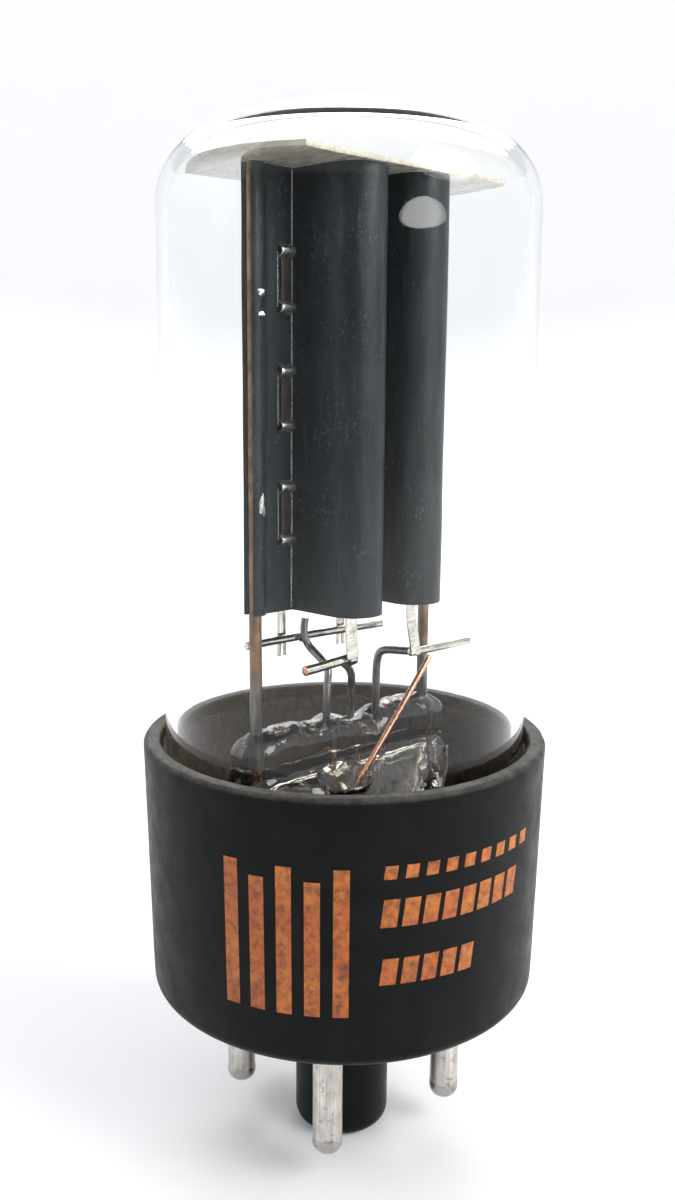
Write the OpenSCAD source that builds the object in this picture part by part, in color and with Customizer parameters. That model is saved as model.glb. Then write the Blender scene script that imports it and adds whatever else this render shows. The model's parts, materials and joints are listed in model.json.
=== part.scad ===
// Octal-base full-wave rectifier tube: clear glass bulb, two dark plates,
// flat glass press, black moulded base with five pins and a centre key.
// Units are millimetres. The origin is the centre of the base's underside,
// which is the seat on the socket. +Z runs up the tube's axis and pin 1 lies
// on +Y. Pins 2, 4, 6 and 8 lie on the diagonals.

/* [Base] */
// Height of the moulded base shell
base_h = 20.5; // [18:0.1:26]
// Outside radius of the shell at its underside
base_r_low = 15.6; // [15.2:0.05:16.2]
// Outside radius of the shell at its rim
base_r_top = 16.1; // [15.8:0.05:16.8]
// Radius of the shell's bore, which holds the bulb
base_bore_r = 14.75; // [14.6:0.05:15]
// Thickness of the shell's floor
base_floor = 2.4; // [1.8:0.1:3.5]
// Radius of the rounded edge round the underside
base_edge_r = 1.0; // [0.4:0.1:1.4]

/* [Pins and key] */
// Radius of the circle through the pins
pin_circle_r = 8.725; // [8.7:0.005:8.75]
// Radius of a pin
pin_r = 1.18; // [1.15:0.01:1.2]
// Radius of the bore in a pin
pin_bore_r = 0.86; // [0.7:0.02:0.95]
// Length of a pin below the base
pin_l = 11.0; // [10:0.1:11.5]
// Radius of the centre key
key_r = 3.9; // [3.8:0.02:3.96]
// Length of the key below the base
key_l = 13.75; // [12.2:0.05:14.2]
// Radius of the bore in the key
key_bore_r = 2.9; // [2.9:0.05:3.1]
// Width of the key's rib
key_rib_w = 2.2; // [1.8:0.1:2.4]
// Radius out to the rib's face
key_rib_r = 4.95; // [4.6:0.05:5.1]

/* [Bulb] */
// Outside radius of the straight part of the bulb
bulb_r = 14.3; // [13.8:0.05:14.5]
// Thickness of the bulb's glass
bulb_wall = 0.9; // [0.7:0.05:1.2]
// Height of the top of the dome above the seat
bulb_top = 68.4; // [68:0.1:72]
// Radius of the dome's crown
crown_r = 26; // [25:1:28]
// Radius of the dome's shoulder
shoulder_r = 5.5; // [5:0.1:5.6]

/* [Stem] */
// Turn of the stem and everything on it, seen from above
stem_turn = 5.1; // [-8:0.1:8]
// Outside radius of the stem's glass tube
stem_r = 7.2; // [6.8:0.1:7.6]
// Half thickness of the flat press
press_r = 2.0; // [1.6:0.1:2.2]
// Top of the press above the seat
press_top = 22.6; // [21.5:0.1:23.5]
// Outside radius of the exhaust tube
exhaust_r = 1.45; // [1.35:0.05:1.45]

/* [Plates] */
// Distance of each plate's middle from the tube's axis
plate_x = 3.2; // [3.1:0.05:3.4]
// Outside radius of a plate's rounded front and back
nose_r = 2.2; // [2:0.05:2.3]
// Half depth of a plate, front to back
plate_depth = 6.4; // [6:0.1:6.6]
// Thickness of the plate's sheet
sheet_t = 0.3; // [0.2:0.05:0.35]
// Bottom of plate 1 above the seat
plate_low = 31.3; // [31:0.1:33]
// How far plate 2's bottom is above plate 1's
plate_2_lift = 0.2; // [0:0.1:0.5]
// Top of the plates above the seat
plate_top = 63.2; // [62:0.1:63.2]
// Distance of each support rod from the tube's axis
rod_x = 9.1; // [8.9:0.05:9.3]
// Radius of a support rod
rod_r = 0.48; // [0.4:0.01:0.5]
// Height of one bridge lance in a flange
lance_h = 4.8; // [4:0.1:5.5]
// Distance between bridge lances
lance_pitch = 8.4; // [7.5:0.1:9]

/* [Mica] */
// Radius of the mica's rounded ends
mica_r = 12.2; // [11.8:0.05:12.2]
// Half width between the mica's straight sides
mica_half_w = 6.8; // [6.6:0.1:8]
// Thickness of the mica
mica_t = 0.35; // [0.25:0.05:0.5]

/* [Filaments and wires] */
// Distance of each filament leg from the plates' mid-plane
leg_y = 4.0; // [3.6:0.1:4.2]
// Radius of a coated filament
filament_r = 0.22; // [0.15:0.01:0.25]
// Radius of the nickel bars and their leads
bar_r = 0.33; // [0.28:0.01:0.35]
// Height of the bars above the seat
bar_z = 27.6; // [27:0.1:28.5]
// Radius of the copper wire
copper_r = 0.22; // [0.18:0.01:0.26]
// Radius of the leads between the stem and the pins
lead_r = 0.3; // [0.25:0.01:0.35]

/* [Hidden] */
$fn = 48;
bend_swell = 1.06;                // a bend's ball, over the radius that covers the bend
ball_max = 1.5;
pin_head_t = 0.45;                // a pin's head, set on the shell's floor
pin_head_r = 1.75;
pin_shank_r = pin_r + 0.27;       // the pin's shoulder, let into the shell's floor
solder_l = 2.4;                   // the solder inside a pin's end
solder_crown = 0.35;
key_end_r = 0.9;                  // rounding of the key's end
key_end_t = 1.6;                  // closed end of the key
rib_angle = 67.5;                 // between pins 8 and 1, from +X
cement_low = 9.6;
cement_top = base_h - 0.9;
neck_r = 12.0;                    // where the bulb's foot meets the stem's flare
neck_z = 5.4;
bulb_foot_z = 9.4;
flare_t = 1.0;
tube_low = 9.6;                   // bottom of the stem's straight tube
tube_top = 12.4;
press_low = 18.2;
cavity_top = 17.2;
pinch_low = tube_top - 0.2;       // where the round tube starts to narrow
slot_r = 0.42;                    // half width of the cavity's top
slot_l = 9.7;                     // half length of the cavity's top
press_l = 10.4;                   // half length of the press between its swellings
swell = 0.3;                      // how far the press swells round each rod
swell_low = 14.6;
flare_r = 3.2;                    // bend from the tube into the flare
press_mid = press_top - press_r;  // axis of the press's rounded ridge
exhaust_bore_r = exhaust_r - 0.45;
exhaust_top = [-2.8, -3.0, 17.9];
exhaust_tip = [0, 0, -4.6];
exhaust_neck = 2.6;
seal_r = 0.3;
seal_top = press_mid - 1.2;
wire_x = [-2.0, 0.6, 3.5];        // rear support, lead of pin 2, lead of pin 8
crease = nose_r + 0.28;           // half width of a plate's box at its flange
rib_at = rod_x - plate_x;         // the rod, from the plate's middle
rib_in_r = rod_r + 0.02;
rib_out_r = rib_in_r + sheet_t;
rib_gap = 42;                     // half angle left open on the rod's outer side
nose_y = plate_depth - nose_r;
lance_w = 1.3;
lance_at = 3.3;                   // the lances, from the plate's middle
lance_rise = 0.75;
lance_slope = 1.0;
lance_mid = (plate_low + plate_top) / 2 - 0.1;
rod_end = plate_top + mica_t + 0.9;
tab_w = 0.85;
tab_t = 0.26;
tab_top = plate_low + 2.0;
bar_y = leg_y - tab_t / 2 - bar_r;
apex_z = plate_top - 2.4;
apex_half = 0.55;                 // half width of a filament's flat top
hook_r = 0.18;
hook_side = 0.75;
front_drop = 0.55;                // the right-hand front bar sits lower

PINS = [1, 2, 4, 6, 8];

// Points along an arc in a profile, from angle a0 to a1
function arc(centre, r, a0, a1, n) = [
    for (i = [0:n]) let (a = a0 + (a1 - a0) * i / n)
        [centre[0] + r * cos(a), centre[1] + r * sin(a)]
];

// Where pin number n stands: pin 1 on +Y, then anticlockwise from above
function pin_at(n) = let (a = 90 + 45 * (n - 1))
    [pin_circle_r * cos(a), pin_circle_r * sin(a)];

// A point given on the stem, in the base's frame
function turned(p) = [
    p[0] * cos(stem_turn) - p[1] * sin(stem_turn),
    p[0] * sin(stem_turn) + p[1] * cos(stem_turn),
    p[2]
];

// Stands its children at a, with their +Z towards b
module along(a, b) {
    d = b - a;
    translate(a) rotate([0, acos(d[2] / norm(d)), atan2(d[1], d[0])]) children();
}

// A straight round rod between two points
module rod_between(a, b, r) {
    along(a, b) cylinder(h = norm(b - a), r = r);
}

// How sharply a route turns at point i, in degrees
function turn_at(v, i) = let (a = v[i] - v[i - 1], b = v[i + 1] - v[i])
    acos(a * b / (norm(a) * norm(b)));

// A bent wire through a list of points, with a ball that covers each bend
module bent_wire(points, r) {
    for (i = [0:len(points) - 2]) rod_between(points[i], points[i + 1], r);
    for (i = [1:len(points) - 2]) translate(points[i])
        sphere(r = r * min(ball_max, bend_swell / cos(turn_at(points, i) / 2)));
}

// Everything on the stem turns with it
module on_stem() {
    rotate([0, 0, stem_turn]) children();
}

// Mirrors a piece of plate 1 across to plate 2
module across() {
    mirror([1, 0, 0]) children();
}

// ---- glass -------------------------------------------------------------

// Half outline of the dome, from the straight wall up to the axis
function dome(wall, n) = let (
    rs = shoulder_r - wall,
    rc = crown_r - wall,
    cx = bulb_r - shoulder_r,
    cc = bulb_top - crown_r,
    cz = cc + sqrt(pow(crown_r - shoulder_r, 2) - cx * cx),
    meet = atan2(cz - cc, cx)
) concat(
    arc([cx, cz], rs, 0, meet, n),
    [for (i = [1:n]) arc([0, cc], rc, meet, 90, n)[i]]
);

function reversed(v) = [for (i = [len(v) - 1:-1:0]) v[i]];

module glass_bulb() {
    steps = 8;
    foot_r = neck_r + bulb_wall;
    outer = concat([[neck_r, neck_z], [foot_r, neck_z], [bulb_r, bulb_foot_z]], dome(0, steps));
    inner = concat([[neck_r, neck_z + 1.4], [bulb_r - bulb_wall, bulb_foot_z]],
        dome(bulb_wall, steps));
    color("white", 0.25)
        rotate_extrude($fn = 96) polygon(concat(outer, reversed(inner)));
}

// Everything outside a wedge that narrows upwards, in front and behind.
// wide is its half depth at the tube, thin its half depth above z = high.
module outside_wedge(wide, thin, high, roof) {
    far = 2 * bulb_r;
    translate([-far, 0, 0]) rotate([90, 0, 90]) linear_extrude(2 * far) polygon(concat(
        [[-far, pinch_low], [-wide, pinch_low], [-thin, high]],
        roof,
        [[thin, high], [wide, pinch_low], [far, pinch_low], [far, 2 * far], [-far, 2 * far]]
    ));
}

// The swelling of the press round a rod, with a tapered foot
module press_swelling() {
    r = press_r + swell;
    rotate_extrude() polygon(concat(
        [[0, swell_low], [r / 3, swell_low], [r, press_low]],
        arc([0, press_mid - swell / 2], r, 0, 90, 5)
    ));
}

// Flare, tube and press outside: a turned body pinched flat at its top
module stem_outside() {
    ridge = reversed(arc([0, press_mid], press_r, 0, 180, 9));
    difference() {
        rotate_extrude($fn = 96) polygon(concat(
            [[0, neck_z], [0, press_top + 1], [press_l, press_top + 1], [press_l, cavity_top],
             [stem_r + 2, swell_low], [stem_r, tube_top]],
            arc([stem_r + flare_r, tube_low], flare_r, 180, 250, 6),
            [[neck_r, neck_z + 1], [neck_r, neck_z]]
        ));
        outside_wedge(stem_r + 0.1, press_r, press_low, ridge);
    }
    for (s = [-1, 1]) translate([s * rod_x, 0, 0]) press_swelling();
}

// The hollow under the press, open at the flare
module stem_cavity() {
    in_r = stem_r - flare_t;
    difference() {
        rotate_extrude($fn = 96) polygon(concat(
            [[0, neck_z - 1], [0, cavity_top], [slot_l, cavity_top], [slot_l, cavity_top - 0.2],
             [in_r, tube_top]],
            arc([in_r + flare_r, tube_low - 0.4], flare_r, 180, 250, 6),
            [[neck_r - flare_t, neck_z - 1]]
        ));
        outside_wedge(in_r + 0.1, slot_r, cavity_top - 0.6,
            [[-slot_r, cavity_top + 1], [slot_r, cavity_top + 1]]);
    }
}

module glass_stem() {
    color("white", 0.35) on_stem() difference() {
        stem_outside();
        stem_cavity();
        rod_between(exhaust_tip, exhaust_top + 0.1 * (exhaust_top - exhaust_tip), exhaust_r);
        for (x = concat([-rod_x, rod_x], wire_x)) {
            translate([x, 0, seal_top])
                cylinder(h = press_top, r = abs(x) == rod_x ? rod_r : bar_r);
            translate([x, 0, cavity_top - 1]) cylinder(h = seal_top - cavity_top + 2, r = seal_r);
        }
    }
}

// Drawn to a point and sealed where the bulb was pumped out
module exhaust_tube() {
    l = norm(exhaust_top - exhaust_tip);
    color("white", 0.35) on_stem() along(exhaust_tip, exhaust_top) rotate_extrude() polygon([
        [0, 0], [exhaust_r / 4, 0], [exhaust_r, exhaust_neck], [exhaust_r, l],
        [exhaust_bore_r, l], [exhaust_bore_r, exhaust_neck + 0.4], [0, exhaust_neck - 0.6]
    ]);
}

// ---- base --------------------------------------------------------------

// The rib that lets the key enter its socket one way round
module key_rib() {
    low = -key_l + key_end_r + 0.5;
    rotate([0, 0, rib_angle]) translate([0, -key_rib_w / 2, low])
        cube([key_rib_r, key_rib_w, base_floor / 2 - low]);
}

// Shell, floor and key are one moulding
module base_shell() {
    edge = [base_r_low - base_edge_r, base_edge_r];
    flat_r = key_r - key_end_r;
    color("#1c1c1b") difference() {
        union() {
            rotate_extrude($fn = 96) polygon(concat(
                [[0, base_floor], [0, -key_l], [flat_r, -key_l]],
                arc([flat_r, -key_l + key_end_r], key_end_r, -80, 0, 4),
                [[key_r, 0]],
                arc(edge, base_edge_r, -90, 0, 6),
                [[base_r_top, base_h - 0.25], [base_r_top - 0.25, base_h],
                 [base_bore_r + 0.2, base_h], [base_bore_r, base_h - 0.2],
                 [base_bore_r, base_floor]]
            ));
            key_rib();
        }
        translate([0, 0, -key_l + key_end_t])
            cylinder(h = key_l + base_floor, r = key_bore_r);
        for (n = PINS) translate([pin_at(n)[0], pin_at(n)[1], -1])
            cylinder(h = base_floor + 2, r = pin_shank_r);
    }
}

module basing_cement() {
    color("#6b5134") translate([0, 0, cement_low]) difference() {
        cylinder(h = cement_top - cement_low, r = base_bore_r, $fn = 96);
        translate([0, 0, -1]) cylinder(h = base_h, r = bulb_r, $fn = 96);
    }
}

// ---- pins, solder and leads ---------------------------------------------

module octal_pin(n) {
    tip = 0.5;
    color("#b9b9b4") translate([pin_at(n)[0], pin_at(n)[1], 0]) difference() {
        union() {
            translate([0, 0, -pin_l + tip]) cylinder(h = pin_l - tip, r = pin_r);
            translate([0, 0, -pin_l]) cylinder(h = tip, r1 = pin_r - 0.25, r2 = pin_r);
            cylinder(h = base_floor, r = pin_shank_r);
            translate([0, 0, base_floor]) cylinder(h = pin_head_t, r = pin_head_r);
        }
        translate([0, 0, -pin_l - 1]) cylinder(h = 2 * pin_l, r = pin_bore_r);
    }
}

module pin_1() { octal_pin(1); }
module pin_2() { octal_pin(2); }
module pin_4() { octal_pin(4); }
module pin_6() { octal_pin(6); }
module pin_8() { octal_pin(8); }

// One plug of solder in the end of each pin, crowned below it
module pin_solder() {
    color("#c9c9c6") for (n = PINS) translate([pin_at(n)[0], pin_at(n)[1], -pin_l]) {
        cylinder(h = solder_l, r = pin_bore_r);
        translate([0, 0, -solder_crown])
            cylinder(h = solder_crown, r1 = pin_bore_r - 0.35, r2 = pin_bore_r);
    }
}

// A lead from x on the press, down inside the stem's tube and into pin n
module pin_lead(n, x, bend) {
    at = pin_at(n);
    color("#a8a39a") bent_wire([
        turned([x, 0, cavity_top]),
        turned([x, 0, cavity_top - 0.8]),
        turned([bend[0], bend[1], tube_top - 1.4]),
        [at[0] * 0.62, at[1] * 0.62, tube_low - 2.8],
        [at[0], at[1], base_floor + 1.6],
        [at[0], at[1], -pin_l + solder_l]
    ], lead_r);
}

module lead_4() { pin_lead(4, -rod_x, [-5.3, -0.6]); }
module lead_6() { pin_lead(6, rod_x, [5.3, -0.6]); }
module lead_2() { pin_lead(2, wire_x[1], [-0.6, 2.2]); }
module lead_8() { pin_lead(8, wire_x[2], [3.4, 1.6]); }

// Short copper-clad wires sealed in the press, one below each wire and rod
module seal_wires() {
    color("#b4683a") on_stem() for (x = [-rod_x, wire_x[0], wire_x[1], wire_x[2], rod_x])
        translate([x, 0, cavity_top]) cylinder(h = seal_top - cavity_top, r = seal_r);
}

// ---- plates ------------------------------------------------------------

// Solid with the outline of a plate's box, shrunk by inset
module plate_box(inset, low, high) {
    r = nose_r - inset;
    side = crease - inset;
    translate([0, 0, low]) linear_extrude(high - low) {
        for (s = [-1, 1]) translate([0, s * nose_y]) circle(r = r, $fn = 64);
        polygon([[r, nose_y], [r, -nose_y], [-r, -nose_y], [-side, 0], [-r, nose_y]]);
    }
}

// Raised strap of a bridge lance, standing out of the flange towards -Y
module lance(z) {
    far = -sheet_t - lance_rise;
    h = lance_h / 2;
    translate([-lance_at - lance_w / 2, 0, z]) rotate([90, 0, 90])
        linear_extrude(lance_w) polygon([
            [-sheet_t, -h], [far, -h + lance_slope], [far, h - lance_slope], [-sheet_t, h],
            [-sheet_t, h - sheet_t], [far + sheet_t, h - lance_slope - 0.1],
            [far + sheet_t, -h + lance_slope + 0.1], [-sheet_t, -h + sheet_t]
        ]);
}

// The open wedge on the outer side of the rib, which shows the rod
module rib_mouth(low, h) {
    reach = 2 * rib_out_r;
    translate([-rib_at, 0, low]) linear_extrude(h) polygon([
        [0, 0], [-reach * cos(rib_gap), -reach * sin(rib_gap)], [-reach, 0],
        [-reach * cos(rib_gap), reach * sin(rib_gap)]
    ]);
}

// One folded sheet: closed box, double flange and a split rib round the rod
module plate(low) {
    h = plate_top - low;
    slot_h = lance_h - 2 * sheet_t;
    color("#2b2f30") difference() {
        union() {
            plate_box(0, low, plate_top);
            translate([-rib_at, -sheet_t, low])
                cube([rib_at - crease + sheet_t, 2 * sheet_t, h]);
            translate([-rib_at, 0, low]) cylinder(h = h, r = rib_out_r);
        }
        plate_box(sheet_t, low - 1, plate_top + 1);
        translate([-rib_at, 0, low - 1]) cylinder(h = h + 2, r = rib_in_r);
        rib_mouth(low - 1, h + 2);
        for (i = [-1:1])
            translate([-lance_at - lance_w / 2, -1, lance_mid + i * lance_pitch - slot_h / 2])
                cube([lance_w, 2, slot_h]);
    }
    color("#2b2f30") for (i = [-1:1]) lance(lance_mid + i * lance_pitch);
}

module plate_1() { on_stem() translate([-plate_x, 0, 0]) plate(plate_low); }
module plate_2() {
    on_stem() across() translate([-plate_x, 0, 0]) plate(plate_low + plate_2_lift);
}

module support_rod() {
    color("#7d6552") translate([-rod_x, 0, seal_top])
        cylinder(h = rod_end - seal_top, r = rod_r);
}

module plate_1_rod() { on_stem() support_rod(); }
module plate_2_rod() { on_stem() across() support_rod(); }

// ---- mica --------------------------------------------------------------

module top_mica() {
    color("#d9d2c4", 0.85) on_stem() translate([0, 0, plate_top]) difference() {
        intersection() {
            cylinder(h = mica_t, r = mica_r, $fn = 96);
            translate([-mica_r - 1, -mica_half_w, -1])
                cube([2 * mica_r + 2, 2 * mica_half_w, mica_t + 2]);
        }
        for (s = [-1, 1]) {
            translate([s * rod_x, 0, -1]) cylinder(h = mica_t + 2, r = rod_r);
            translate([s * (plate_x - hook_side), 0, -1])
                cylinder(h = mica_t + 2, r = hook_r);
        }
    }
}

// ---- filaments ---------------------------------------------------------

// An inverted V of coated wire, hung by its top and held by its two feet
module filament() {
    foot = tab_top + 0.04;
    color("#e8e6df") translate([-plate_x, 0, 0]) bent_wire([
        [0, -leg_y, foot], [0, -apex_half, apex_z], [0, apex_half, apex_z], [0, leg_y, foot]
    ], filament_r);
}

module filament_1() { on_stem() filament(); }
module filament_2() { on_stem() across() filament(); }

// Four flat nickel tabs that join the filaments' feet to the bars
module filament_tabs() {
    color("#9d968a") on_stem() for (x = [-plate_x, plate_x]) {
        front_foot = bar_z - (x > 0 ? front_drop : 0) - bar_r;
        translate([x - tab_w / 2, -leg_y - tab_t / 2, front_foot])
            cube([tab_w, tab_t, tab_top - front_foot]);
        translate([x - tab_w / 2, leg_y - tab_t / 2, bar_z - 1.1])
            cube([tab_w, tab_t, tab_top - bar_z + 1.1]);
    }
}

// A spring hook: under the filament's top, up through the mica and over it
module filament_hook() {
    x = -plate_x + hook_side;
    under = apex_z - filament_r - hook_r;
    over = plate_top + mica_t + hook_r;
    color("#b5b0a6") bent_wire([
        [-plate_x - 0.5, 0, under], [x, 0, under], [x, 0, over], [x, 2.8, over]
    ], hook_r);
}

module filament_hook_1() { on_stem() filament_hook(); }
module filament_hook_2() { on_stem() across() filament_hook(); }

// ---- bars and leads under the plates --------------------------------------

// Joins the two filaments behind the press
module rear_bar() {
    color("#a59a86") on_stem()
        rod_between([-7.3, bar_y, bar_z + 0.4], [7.6, bar_y, bar_z + 0.2], bar_r);
}

module rear_bar_support() {
    beside_bar = bar_y - 2 * bar_r;
    color("#8f877b") on_stem() bent_wire([
        [wire_x[0], 0, seal_top], [wire_x[0], 0, bar_z - 1.4],
        [-0.3, beside_bar, bar_z - 0.4], [-0.1, beside_bar, bar_z + 1.7]
    ], bar_r);
}

module front_bar_1() {
    color("#a59a86") on_stem()
        rod_between([-7.4, -bar_y, bar_z - 0.25], [-2.2, -bar_y, bar_z + 0.1], bar_r);
}

module front_bar_1_lead() {
    color("#8f877b") on_stem() bent_wire([
        [wire_x[1], 0, seal_top], [wire_x[1], 0, bar_z - 3],
        [-3.4, -bar_y + 1.6 * bar_r, bar_z - 1.1 * bar_r]
    ], bar_r);
}

module front_bar_2() {
    z = bar_z - front_drop;
    color("#a59a86") on_stem()
        rod_between([3.3, -bar_y, z], [11.3, -bar_y, z - 0.1], bar_r);
}

module front_bar_2_lead() {
    z = bar_z - front_drop;
    color("#8f877b") on_stem() bent_wire([
        [wire_x[2], 0, seal_top], [wire_x[2], 0, z - 1.2],
        [4.2, -bar_y + 1.6 * bar_r, z - 1.1 * bar_r]
    ], bar_r);
}

// Slants from the right-hand front bar down into the exhaust opening
module copper_wire() {
    color("#c77a4a") on_stem() bent_wire([
        [6.1, -bar_y, bar_z - front_drop - bar_r - copper_r],
        exhaust_top + [0.65, -0.25, 0.35], exhaust_top + [0.3, 0.05, -1.5]
    ], copper_r);
}

glass_bulb();
glass_stem();
exhaust_tube();
base_shell();
basing_cement();
pin_1();
pin_2();
pin_4();
pin_6();
pin_8();
pin_solder();
lead_2();
lead_4();
lead_6();
lead_8();
seal_wires();
plate_1();
plate_2();
plate_1_rod();
plate_2_rod();
top_mica();
filament_1();
filament_2();
filament_tabs();
filament_hook_1();
filament_hook_2();
rear_bar();
rear_bar_support();
front_bar_1();
front_bar_1_lead();
front_bar_2();
front_bar_2_lead();
copper_wire();
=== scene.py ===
"""Looks of an octal-base rectifier tube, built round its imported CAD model.

Lengths are millimetres. build() and the stage, light and camera functions turn them into metres.
The stem and all that it carries are laid out in the stem's own frame: X through the two support
rods, -Y towards the front of the press, Z up the tube's axis.
"""

import json
import math

import bmesh
import bpy
from mathutils import Matrix, Vector, noise


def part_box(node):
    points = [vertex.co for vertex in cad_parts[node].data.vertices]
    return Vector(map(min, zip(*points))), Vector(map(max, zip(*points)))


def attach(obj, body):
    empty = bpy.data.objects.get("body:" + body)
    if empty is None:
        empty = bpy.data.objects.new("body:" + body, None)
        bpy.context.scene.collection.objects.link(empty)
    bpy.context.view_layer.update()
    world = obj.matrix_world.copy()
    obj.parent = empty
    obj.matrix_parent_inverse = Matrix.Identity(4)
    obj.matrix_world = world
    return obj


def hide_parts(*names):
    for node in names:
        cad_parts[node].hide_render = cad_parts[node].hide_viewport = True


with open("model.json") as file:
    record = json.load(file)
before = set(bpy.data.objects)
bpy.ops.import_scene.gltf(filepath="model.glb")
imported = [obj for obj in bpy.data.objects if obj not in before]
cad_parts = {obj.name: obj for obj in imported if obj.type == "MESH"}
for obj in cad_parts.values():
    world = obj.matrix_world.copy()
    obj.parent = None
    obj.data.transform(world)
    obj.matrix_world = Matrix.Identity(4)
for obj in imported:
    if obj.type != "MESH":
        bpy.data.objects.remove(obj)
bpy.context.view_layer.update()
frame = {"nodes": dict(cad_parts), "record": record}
MM = 0.001
TAU = 2 * math.pi


# ---- measures from the CAD model ------------------------------------------


def box(node):
    """Lowest and highest corner of a CAD node, in millimetres."""
    low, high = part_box(node)
    return low / MM, high / MM


def middle(node):
    low, high = box(node)
    return (low + high) / 2


def half_width(node):
    low, high = box(node)
    return (high.x - low.x) / 2


ROD_1, ROD_2 = middle("plate_1_rod"), middle("plate_2_rod")
STEM_TURN = math.atan2(ROD_2.y - ROD_1.y, ROD_2.x - ROD_1.x)
ROD_X = math.hypot(ROD_2.x - ROD_1.x, ROD_2.y - ROD_1.y) / 2
ROD_R = half_width("plate_1_rod")
BASE_R = half_width("base_shell") - 0.01  # a hair less, so that the wear stays in the CAD box
BASE_LOW_R = BASE_R - 0.5  # the shell's wall narrows to this at the seat
BASE_TOP = box("base_shell")[1].z
KEY_LOW = box("base_shell")[0].z
BULB_R = half_width("glass_bulb")
BULB_TOP = box("glass_bulb")[1].z
BULB_FOOT = box("glass_bulb")[0].z
PRESS_TOP = box("glass_stem")[1].z
MICA_LOW, MICA_TOP = box("top_mica")[0].z, box("top_mica")[1].z
MICA_R = half_width("top_mica")
PIN_LOW = box("pin_4")[0].z
SOLDER_LOW = box("pin_solder")[0].z
PIN_R = 1.18
BORE_R = 14.75  # inside of the shell
PIN_NODES = ["pin_1", "pin_2", "pin_4", "pin_6", "pin_8"]
ON_STEM = Matrix.Rotation(STEM_TURN, 4, "Z")
CAMERA_TURN = -37.92  # the photograph's side of the tube, in degrees from -Y
FACING = -90 + CAMERA_TURN


# ---- mesh making -----------------------------------------------------------


def jitter(p, scale, seed=0.0):
    """Smooth noise from -1 to 1 at point p, with features about 1 / scale across."""
    return noise.noise(Vector(p) * scale + Vector((seed, 7.1 * seed, -3.3 * seed)))


class Shape:
    """Vertices in millimetres and faces, each with the number of its material."""

    def __init__(self):
        self.verts, self.faces, self.marks = [], [], []

    def add(self, verts, faces, mark=0):
        start = len(self.verts)
        self.verts += [Vector(v) for v in verts]
        self.faces += [tuple(start + i for i in f) for f in faces]
        self.marks += [mark] * len(faces)
        return self

    def join(self, other, matrix=None, mark=None):
        start = len(self.verts)
        self.verts += [matrix @ v if matrix else v.copy() for v in other.verts]
        self.faces += [tuple(start + i for i in f) for f in other.faces]
        self.marks += other.marks if mark is None else [mark] * len(other.faces)
        return self

    def moved(self, shift):
        """Moves each vertex by what shift(vertex) says."""
        self.verts = [v + shift(v) for v in self.verts]
        return self


def build(name, shape, materials, replaced=(), matrix=None, sharp_deg=40):
    """Makes a piece from a shape, on the root body."""
    mesh = bpy.data.meshes.new(name)
    move = Matrix.Scale(MM, 4) @ (matrix or Matrix.Identity(4))
    mesh.from_pydata([move @ v for v in shape.verts], [], shape.faces)
    for m in materials:
        mesh.materials.append(m)
    mesh.polygons.foreach_set("material_index", shape.marks)
    work = bmesh.new()
    work.from_mesh(mesh)
    bmesh.ops.remove_doubles(work, verts=work.verts, dist=1e-7)
    bmesh.ops.recalc_face_normals(work, faces=work.faces)
    for f in work.faces:
        f.smooth = True
    for e in work.edges:
        if len(e.link_faces) == 2:
            e.smooth = e.calc_face_angle(0) < math.radians(sharp_deg)
    work.to_mesh(mesh)
    work.free()
    piece = bpy.data.objects.new(name, mesh)
    bpy.context.scene.collection.objects.link(piece)
    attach(piece, "root")
    if replaced:
        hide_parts(*replaced)
    return piece


def loft(rings, capped=True, looped=False):
    """Quads between closed rings of points; looped joins the last ring to the first."""
    n = len(rings[0])
    shape = Shape()
    shape.verts = [Vector(p) for r in rings for p in r]
    spans = len(rings) if looped else len(rings) - 1
    for i in range(spans):
        a, b = i * n, ((i + 1) % len(rings)) * n
        for j in range(n):
            k = (j + 1) % n
            shape.faces.append((a + j, a + k, b + k, b + j))
    if capped and not looped:
        for a, ring in ((0, rings[0]), ((len(rings) - 1) * n, rings[-1])):
            shape.verts.append(sum((Vector(p) for p in ring), Vector()) / n)
            centre = len(shape.verts) - 1
            shape.faces += [(a + j, a + (j + 1) % n, centre) for j in range(n)]
    shape.marks = [0] * len(shape.faces)
    return shape


def circle(r, z, steps):
    """A level ring of points round the Z axis."""
    return [(r * math.cos(TAU * j / steps), r * math.sin(TAU * j / steps), z) for j in range(steps)]


def squarer(value, power):
    """A sine or cosine with its sign kept, which makes a circle squarer as power falls from 1."""
    return math.copysign(abs(value) ** power, value)


def turned(profile, steps=128, closed=True):
    """Turns a profile of (radius, height) about Z. build() makes one vertex of those on the axis."""
    return loft([circle(r, z, steps) for r, z in profile], capped=False, looped=closed)


def arc(centre, r, a0, a1, n):
    """Points of a profile along an arc, angles in degrees."""
    angles = [math.radians(a0 + (a1 - a0) * i / n) for i in range(n + 1)]
    return [(centre[0] + r * math.cos(a), centre[1] + r * math.sin(a)) for a in angles]


def rounded_path(points, cuts=3):
    """A path with its corners cut round, which keeps its ends."""
    path = [Vector(p) for p in points]
    for _ in range(cuts):
        new = [path[0]]
        for a, b in zip(path, path[1:]):
            new += [a.lerp(b, 0.25), a.lerp(b, 0.75)]
        path = [*new, path[-1]]
    return path


def spaced(path, step):
    """The same path with extra points, so that none are further apart than step."""
    out = [path[0]]
    for a, b in zip(path, path[1:]):
        n = max(1, math.ceil((b - a).length / step))
        out += [a.lerp(b, i / n) for i in range(1, n + 1)]
    return out


def bent(points, cuts, step):
    """The path of a bent piece: its corners cut round, and points no further apart than step."""
    path = rounded_path(points, cuts) if len(points) > 2 else [Vector(p) for p in points]
    return spaced(path, step)


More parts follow.
